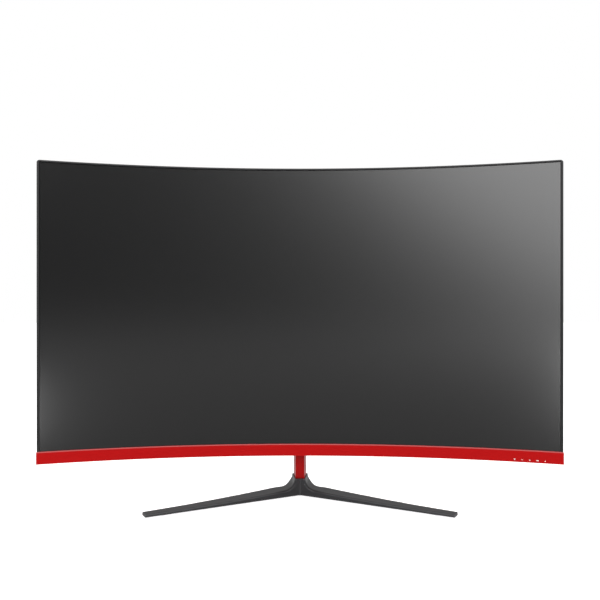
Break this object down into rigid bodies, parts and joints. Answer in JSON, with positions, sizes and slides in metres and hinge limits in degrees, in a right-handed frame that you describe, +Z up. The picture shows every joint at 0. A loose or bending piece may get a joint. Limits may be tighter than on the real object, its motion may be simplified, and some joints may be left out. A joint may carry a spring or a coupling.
{
  "type": "curved desktop monitor",
  "caption": "Curved desktop monitor with a thin black border, a red bar under the screen and a red neck on a dark V-shaped metal base; the head tilts and the keys press.",
  "frame": {"origin": "on the desk, under the centre of the whole object's box", "axes": "+Z up, +X towards the right end of the screen as its viewer sees it, and the viewer sits towards -Y"},
  "size_m": [0.544, 0.136, 0.366],
  "materials": {
    "black_frame": "fine satin",
    "black_cover": "fine moulded grain",
    "red_chin": "satin gloss",
    "screen": "matte anti-glare, off",
    "white_moulding": "matte",
    "optical_film": "satin",
    "clear_acrylic": "clear",
    "bright_metal": "satin",
    "white_board": "matte",
    "led_package": "gloss",
    "green_board": "solder mask",
    "zinc_steel": "zinc plated",
    "black_film": "matte",
    "black_package": "matte",
    "sink_metal": "satin",
    "zinc_screw": "zinc plated",
    "ribbon": "satin",
    "switch_body": "matte",
    "hinge_steel": "oiled",
    "black_screw": "black oxide",
    "brass_insert": "machined",
    "socket_shell": "plated",
    "jack_plastic": "matte",
    "red_neck": "satin paint",
    "grey_casting": "fine powder coat",
    "foot_rubber": "matte",
    "black_key": "satin"
  },
  "bodies": {
    "stand": {"neck": "red_neck", "stand_base": "grey_casting", "neck_screws": "black_screw", "left_foot_pad": "foot_rubber", "right_foot_pad": "foot_rubber", "rear_foot_pad": "foot_rubber"},
    "head": {"front_frame": "black_frame", "chin_bezel": "red_chin", "lcd_cell": "screen", "rear_cover": "black_cover", "mold_frame": "white_moulding", "prism_sheet": "optical_film", "diffuser_sheet": "optical_film", "light_guide_plate": "clear_acrylic", "reflector_sheet": "optical_film", "panel_tray": "bright_metal", "led_bar": "white_board", "backlight_leds": "led_package", "source_boards": "green_board", "chassis_plate": "zinc_steel", "insulation_sheet": "black_film", "main_board": "green_board", "timing_board": "green_board", "board_components": "black_package", "heat_sink": "sink_metal", "board_screws": "zinc_screw", "panel_ribbon_cable": "ribbon", "key_board": "green_board", "tact_switches": "switch_body", "led_light_pipe": "clear_acrylic", "hinge_screws": "zinc_screw", "hinge_pin": "hinge_steel", "friction_washers": "hinge_steel", "spring_washers": "hinge_steel", "hinge_nut": "hinge_steel", "hinge_bracket": "hinge_steel", "rear_cover_screws": "black_screw", "mount_standoffs": "brass_insert", "video_socket_a": "socket_shell", "video_socket_b": "socket_shell", "audio_jack": "jack_plastic", "power_jack": "jack_plastic"},
    "menu_button": {"menu_key": "black_key"},
    "down_button": {"down_key": "black_key"},
    "up_button": {"up_key": "black_key"},
    "source_button": {"source_key": "black_key"},
    "power_button": {"power_key": "black_key"}
  },
  "joints": [
    {"name": "head_tilt", "type": "hinge", "parent": "stand", "child": "head", "pos_m": [0, 0.0165, 0.13], "axis": [-1, 0, 0], "range_deg": [-5, 15]},
    {"name": "menu_press", "type": "slide", "parent": "head", "child": "menu_button", "axis": [0, 0, 1], "range_m": [0, 0.0005], "stiffness_N_per_m": 600, "springref_m": -0.0005},
    {"name": "down_press", "type": "slide", "parent": "head", "child": "down_button", "axis": [0, 0, 1], "range_m": [0, 0.0005], "stiffness_N_per_m": 600, "springref_m": -0.0005},
    {"name": "up_press", "type": "slide", "parent": "head", "child": "up_button", "axis": [0, 0, 1], "range_m": [0, 0.0005], "stiffness_N_per_m": 600, "springref_m": -0.0005},
    {"name": "source_press", "type": "slide", "parent": "head", "child": "source_button", "axis": [0, 0, 1], "range_m": [0, 0.0005], "stiffness_N_per_m": 600, "springref_m": -0.0005},
    {"name": "power_press", "type": "slide", "parent": "head", "child": "power_button", "axis": [0, 0, 1], "range_m": [0, 0.0005], "stiffness_N_per_m": 600, "springref_m": -0.0005}
  ]
}
